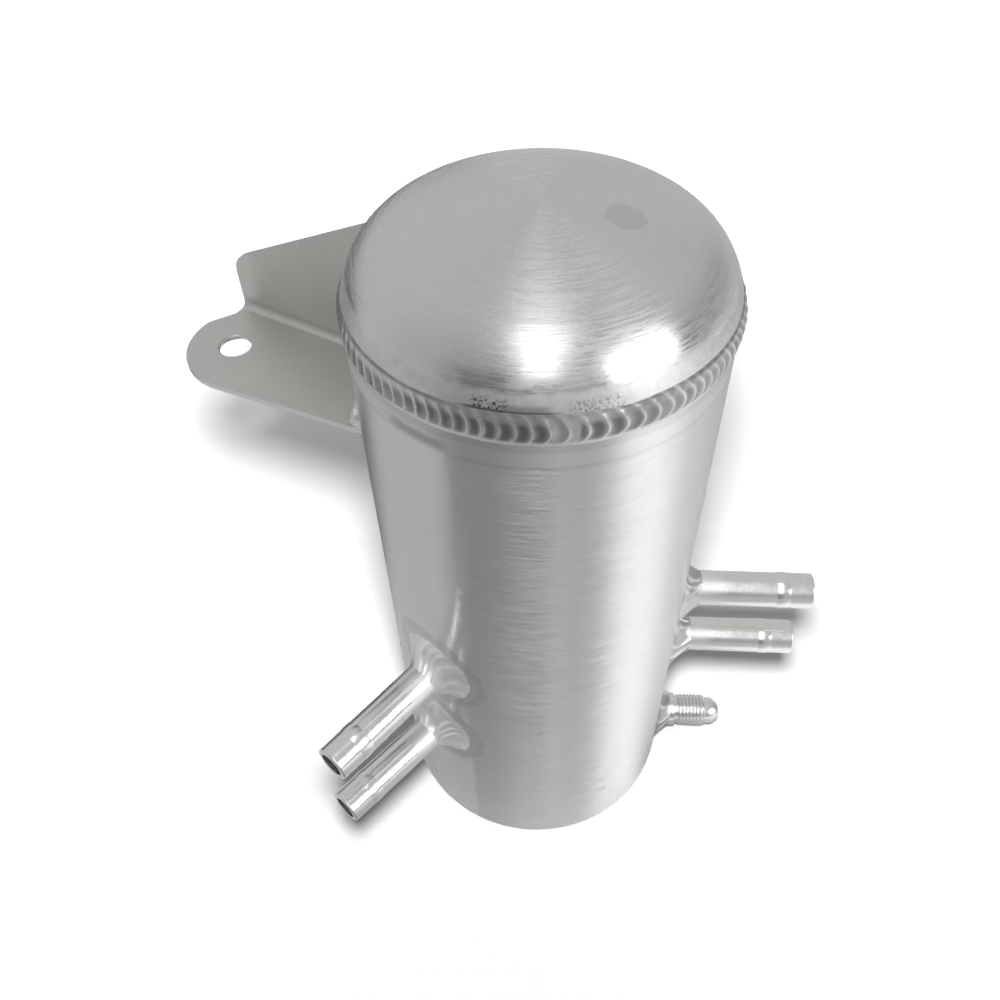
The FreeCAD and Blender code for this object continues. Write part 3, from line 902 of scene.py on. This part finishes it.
def shadow_lamp_share(n, x, y):
    """Share of the shadow lamp's light that reaches a place on the floor, 1 below the can."""
    offset_x = n.minus(x, shadow_lamp_place.x / mm)
    offset_y = n.minus(y, shadow_lamp_place.y / mm)
    height = shadow_lamp_place.z / mm
    near = shadow_lamp_place.length / mm
    return n.math("POWER", n.math("DIVIDE", near ** 2, n.plus(n.square(offset_x, offset_y), height ** 2)), 1.5)


def floor_seen_by_camera(n, x, y, camera_ray):
    """Pale floor. Its tone rises away from the shadow lamp to make up for the lamp's fall-off, and where
    that isn't enough the camera also sees a glow, so that the floor is white and the shadows stay."""
    share = shadow_lamp_share(n, x, y)
    tone = n.math("MINIMUM", n.math("DIVIDE", floor_tone, share), floor_tone_most)
    pale = n.add("ShaderNodeBsdfDiffuse", Color=n.grey(tone))
    missing = n.minus(floor_tone, n.times(tone, share))
    glow = n.add("ShaderNodeEmission", Color=white, Strength=n.times(missing, shadow_lamp_level, camera_ray))
    return n.join("ShaderNodeAddShader", pale, glow)


def floor_seen_by_metal(n, x, y, out):
    """The floor as metal mirrors it: a room that is dark where the photographer stands, dim beside them,
    dark at the rear left and bright at the right. Close to the can it is plainer, and darker on both sides."""
    turn = n.turn(x, y)
    opposite = n.math("MODULO", n.plus(turn, 180.0), 360.0)
    level = n.times(room_part(n, turn, dark_room), dark_level)
    level = n.plus(level, n.times(room_part(n, turn, dim_room), dim_level))
    level = n.plus(level, n.times(n.window(turn, *rear_room, rear_soft), rear_level))
    level = n.plus(level, n.times(room_part(n, opposite, bright_room), bright_level))
    away = n.ramp(out, *away_from_can)
    level = n.times(level, n.spread(away, *room_share))
    level = n.plus(level, n.spread(away, *room_level))

    rightness = n.math("DIVIDE", x, out)
    close = n.ramp(out, *close_to_can, reverse=True)
    right = n.times(n.ramp(rightness, *right_sector), close, right_sector_dark)
    left = n.times(n.ramp(rightness, *left_sector, reverse=True), close, left_sector_dark)
    level = n.minus(n.minus(level, right), left)
    return n.add("ShaderNodeEmission", Color=white, Strength=level)


def make_floor():
    material, n = new_material("pale_floor")
    _, x, y, _, out = n.place()
    path = n.add("ShaderNodeLightPath").outputs
    seen = floor_seen_by_camera(n, x, y, path["Is Camera Ray"])
    both = n.join("ShaderNodeMixShader", seen, floor_seen_by_metal(n, x, y, out))
    n.put(both, "i0", path["Is Glossy Ray"])
    n.finish(both)

    half = floor_half
    mesh = bpy.data.meshes.new("floor")
    corners = [(-half, -half, 0), (half, -half, 0), (half, half, 0), (-half, half, 0)]
    mesh.from_pydata(corners, [], [(0, 1, 2, 3)])
    mesh.materials.append(material)
    new_object("floor", mesh)


def soft_box(name, azimuth, elevation, distance, width, height, level):
    """A rectangular lamp that looks at the can's top from an azimuth and an elevation, in degrees. Its
    level is the brightness of a white sheet that faces it at the can. It leaves the floor to other light."""
    lamp = bpy.data.lights.new(name, "AREA")
    lamp.shape = "RECTANGLE"
    lamp.size = width
    lamp.size_y = height
    lamp.energy = level * (math.pi * distance) ** 2
    a, e = math.radians(azimuth), math.radians(elevation)
    away = Vector((math.cos(a) * math.cos(e), math.sin(a) * math.cos(e), math.sin(e)))
    piece = new_object(name, lamp)
    piece.location = Vector((0, 0, seam_height)) + away * distance
    piece.rotation_mode = "QUATERNION"
    piece.rotation_quaternion = away.to_track_quat("Z", "Y")
    piece.visible_diffuse = False


def make_lights():
    """Two soft boxes light the can. A small lamp over the camera draws the soft shadows on the floor."""
    soft_box("front_lamp", azimuth=267, elevation=62, distance=3.0, width=1.0, height=3.90, level=0.23)
    soft_box("right_lamp", azimuth=326, elevation=26, distance=3.0, width=1.90, height=1.40, level=0.39)
    lamp = bpy.data.lights.new("shadow_lamp", "POINT")
    lamp.shadow_soft_size = shadow_lamp_radius
    distance = shadow_lamp_place.length
    facing = shadow_lamp_place.z / distance
    lamp.energy = shadow_lamp_level * (2 * math.pi * distance) ** 2 / facing
    piece = new_object("shadow_lamp", lamp)
    piece.location = shadow_lamp_place
    piece.visible_glossy = False


def make_world():
    """Plain studio walls: a little paler behind, darker at the front left and low at the right. The camera
    sees them white."""
    world = bpy.data.worlds.new("studio")
    bpy.context.scene.world = world
    world.use_nodes = True
    n = Nodes(world.node_tree)
    x, y, z = n.add("ShaderNodeSeparateXYZ", Vector=n.add("ShaderNodeTexCoord").outputs["Generated"]).outputs
    dark = n.times(room_part(n, n.turn(x, y), dark_room), n.ramp(z, 0.35, 0.75, reverse=True))
    right = n.times(n.ramp(x, 0.45, 0.9), n.ramp(z, 0.3, 0.65, reverse=True))
    level = n.spread(n.ramp(y, -0.5, 0.5), *wall_level)
    level = n.minus(n.minus(level, n.times(dark, wall_dark)), n.times(right, wall_dark))
    level = n.most(level, n.add("ShaderNodeLightPath").outputs["Is Camera Ray"])
    n.finish(n.add("ShaderNodeBackground", Color=white, Strength=level), "ShaderNodeOutputWorld")


def make_camera():
    data = bpy.data.cameras.new("camera")
    data.sensor_fit = "HORIZONTAL"
    data.sensor_width = sensor
    data.lens = sensor * focal_pixels / picture_pixels
    data.clip_start = 0.01
    data.clip_end = 20
    camera = new_object("camera", data)
    pitch, roll = math.radians(camera_pitch), math.radians(camera_roll)
    forward = Vector((0, math.cos(pitch), -math.sin(pitch)))
    level_right = Vector((1, 0, 0))
    level_up = Vector((0, math.sin(pitch), math.cos(pitch)))
    right = math.cos(roll) * level_right + math.sin(roll) * level_up
    up = math.cos(roll) * level_up - math.sin(roll) * level_right
    turn = Matrix((right, up, -forward)).transposed()
    camera.matrix_world = Matrix.Translation(camera_place) @ turn.to_4x4()
    bpy.context.scene.camera = camera


dress_part()
make_welds()
make_floor()
make_lights()
make_world()
make_camera()
bpy.context.scene.view_settings.view_transform = "Standard"
